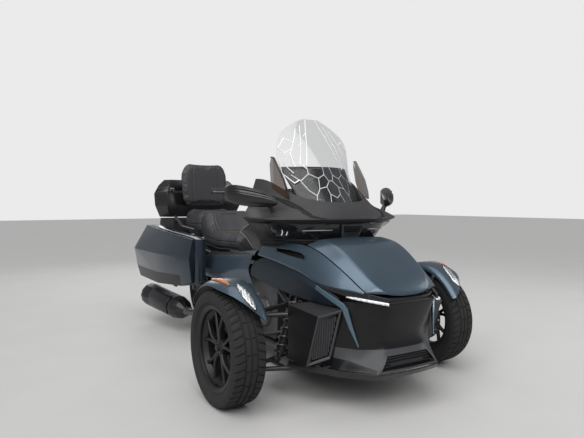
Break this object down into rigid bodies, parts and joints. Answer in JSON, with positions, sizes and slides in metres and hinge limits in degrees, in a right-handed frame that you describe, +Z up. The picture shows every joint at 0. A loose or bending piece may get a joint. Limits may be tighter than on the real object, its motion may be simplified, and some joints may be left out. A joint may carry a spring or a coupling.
{
  "type": "three-wheel touring trike",
  "caption": "Touring trike with two steered front wheels, one driven rear wheel, a tall screen, saddle, backrest and opening luggage cases.",
  "frame": {"origin": "middle of the footprint box, on the ground", "axes": "+X forward, +Y to the vehicle's left, +Z up"},
  "size_m": [2.833, 1.554, 1.484],
  "materials": {
    "tyre": "black rubber with a fine matt grain",
    "black_alloy": "gloss black cast alloy",
    "frame_black": "satin black",
    "engine_grey": "dark cast grey",
    "cast_grey": "dark cast aluminium",
    "spring_steel": "dark coated steel",
    "belt_rubber": "matt black",
    "exhaust_steel": "dark satin steel",
    "black_plastic": "fine grained matt black",
    "gloss_black": "deep gloss black",
    "blue_paint": "satin blue-grey metallic",
    "blue_trim": "satin pale blue-grey metallic",
    "grip_rubber": "ribbed matt black",
    "lamp_white": "clear lens over white light strips",
    "lamp_red": "red lens",
    "smoked_lens": "dark smoked lens",
    "clear_screen": "clear with printed pale lines",
    "seat_vinyl": "fine grained black vinyl"
  },
  "bodies": {
    "chassis": {"frame_right": "frame_black", "frame_left": "frame_black", "cross_bars": "frame_black", "engine": "engine_grey", "wishbones": "frame_black", "shocks": "spring_steel", "swingarm": "frame_black", "drive_belt": "belt_rubber", "exhaust": "exhaust_steel", "belly_pan": "black_plastic", "nose_mask": "black_plastic", "trim_blades": "blue_trim", "headlamps": "lamp_white", "front_bin": "black_plastic", "lamp_lens": "smoked_lens", "upper_fairing": "black_plastic", "windshield": "clear_screen", "screen_panel": "gloss_black", "deflectors": "smoked_lens", "console": "black_plastic", "driver_seat": "seat_vinyl", "passenger_seat": "seat_vinyl", "backrest": "seat_vinyl", "top_case": "gloss_black", "tail_body": "black_plastic", "tail_lamps": "lamp_red", "grab_handles": "frame_black", "footboards": "frame_black", "quarter_panels": "blue_paint", "flanks": "black_plastic", "air_scoops": "black_plastic", "mirrors": "gloss_black", "side_panels": "blue_paint", "panniers": "blue_paint"},
    "upright_right": {"knuckle_right": "cast_grey", "mudguard_right": "blue_paint", "mudguard_lamp_right": "lamp_white"},
    "front_wheel_right": {"tyre_front_right": "tyre", "wheel_front_right": "black_alloy"},
    "pannier_cover_right": {"pannier_lid_right": "blue_paint"},
    "upright_left": {"knuckle_left": "cast_grey", "mudguard_left": "blue_paint", "mudguard_lamp_left": "lamp_white"},
    "front_wheel_left": {"tyre_front_left": "tyre", "wheel_front_left": "black_alloy"},
    "pannier_cover_left": {"pannier_lid_left": "blue_paint"},
    "rear_wheel": {"tyre_rear": "tyre", "wheel_rear": "black_alloy"},
    "steering_bar": {"handlebar": "frame_black", "grips": "grip_rubber"},
    "steering_rods": {"tie_rods": "spring_steel"},
    "hood": {"trunk_lid": "blue_paint"},
    "case_cover": {"top_case_lid": "gloss_black"}
  },
  "joints": [
    {"name": "handlebar_turn", "type": "hinge", "parent": "chassis", "child": "steering_bar", "pos_m": [0.2165, 0, 0.9], "axis": [-0.4191, 0, 0.908], "range_deg": [-30, 30]},
    {"name": "rod_slide", "type": "slide", "parent": "chassis", "child": "steering_rods", "axis": [0, 1, 0], "range_m": [-0.0465, 0.0465]},
    {"name": "front_trunk_lid_hinge", "type": "hinge", "parent": "chassis", "child": "hood", "pos_m": [0.9545, 0, 0.77], "axis": [0, -1, 0], "range_deg": [0, 60]},
    {"name": "top_case_lid_hinge", "type": "hinge", "parent": "chassis", "child": "case_cover", "pos_m": [-1.1185, 0, 1.098], "axis": [0, 1, 0], "range_deg": [0, 40]},
    {"name": "rear_wheel_spin", "type": "hinge", "parent": "chassis", "child": "rear_wheel", "pos_m": [-0.8775, 0, 0.303], "axis": [0, 1, 0], "continuous": true},
    {"name": "steer_right", "type": "hinge", "parent": "chassis", "child": "upright_right", "pos_m": [0.8365, -0.606, 0.281], "axis": [0, 0, 1], "range_deg": [-24.5, 24.5]},
    {"name": "front_wheel_spin_right", "type": "hinge", "parent": "upright_right", "child": "front_wheel_right", "pos_m": [0.8365, -0.692, 0.281], "axis": [0, 1, 0], "continuous": true},
    {"name": "pannier_lid_hinge_right", "type": "hinge", "parent": "chassis", "child": "pannier_cover_right", "pos_m": [-0.8135, -0.4215, 0.364], "axis": [1, 0, 0], "range_deg": [0, 50]},
    {"name": "steer_left", "type": "hinge", "parent": "chassis", "child": "upright_left", "pos_m": [0.8365, 0.606, 0.281], "axis": [0, 0, 1], "range_deg": [-24.5, 24.5]},
    {"name": "front_wheel_spin_left", "type": "hinge", "parent": "upright_left", "child": "front_wheel_left", "pos_m": [0.8365, 0.692, 0.281], "axis": [0, 1, 0], "continuous": true},
    {"name": "pannier_lid_hinge_left", "type": "hinge", "parent": "chassis", "child": "pannier_cover_left", "pos_m": [-0.8135, 0.4215, 0.364], "axis": [-1, 0, 0], "range_deg": [0, 50]}
  ],
  "couplings": [
    {"joint": "rod_slide", "follows": "handlebar_turn", "m_per_rad": -0.0866},
    {"joint": "steer_right", "follows": "handlebar_turn", "ratio": 0.8},
    {"joint": "steer_left", "follows": "handlebar_turn", "ratio": 0.8}
  ]
}
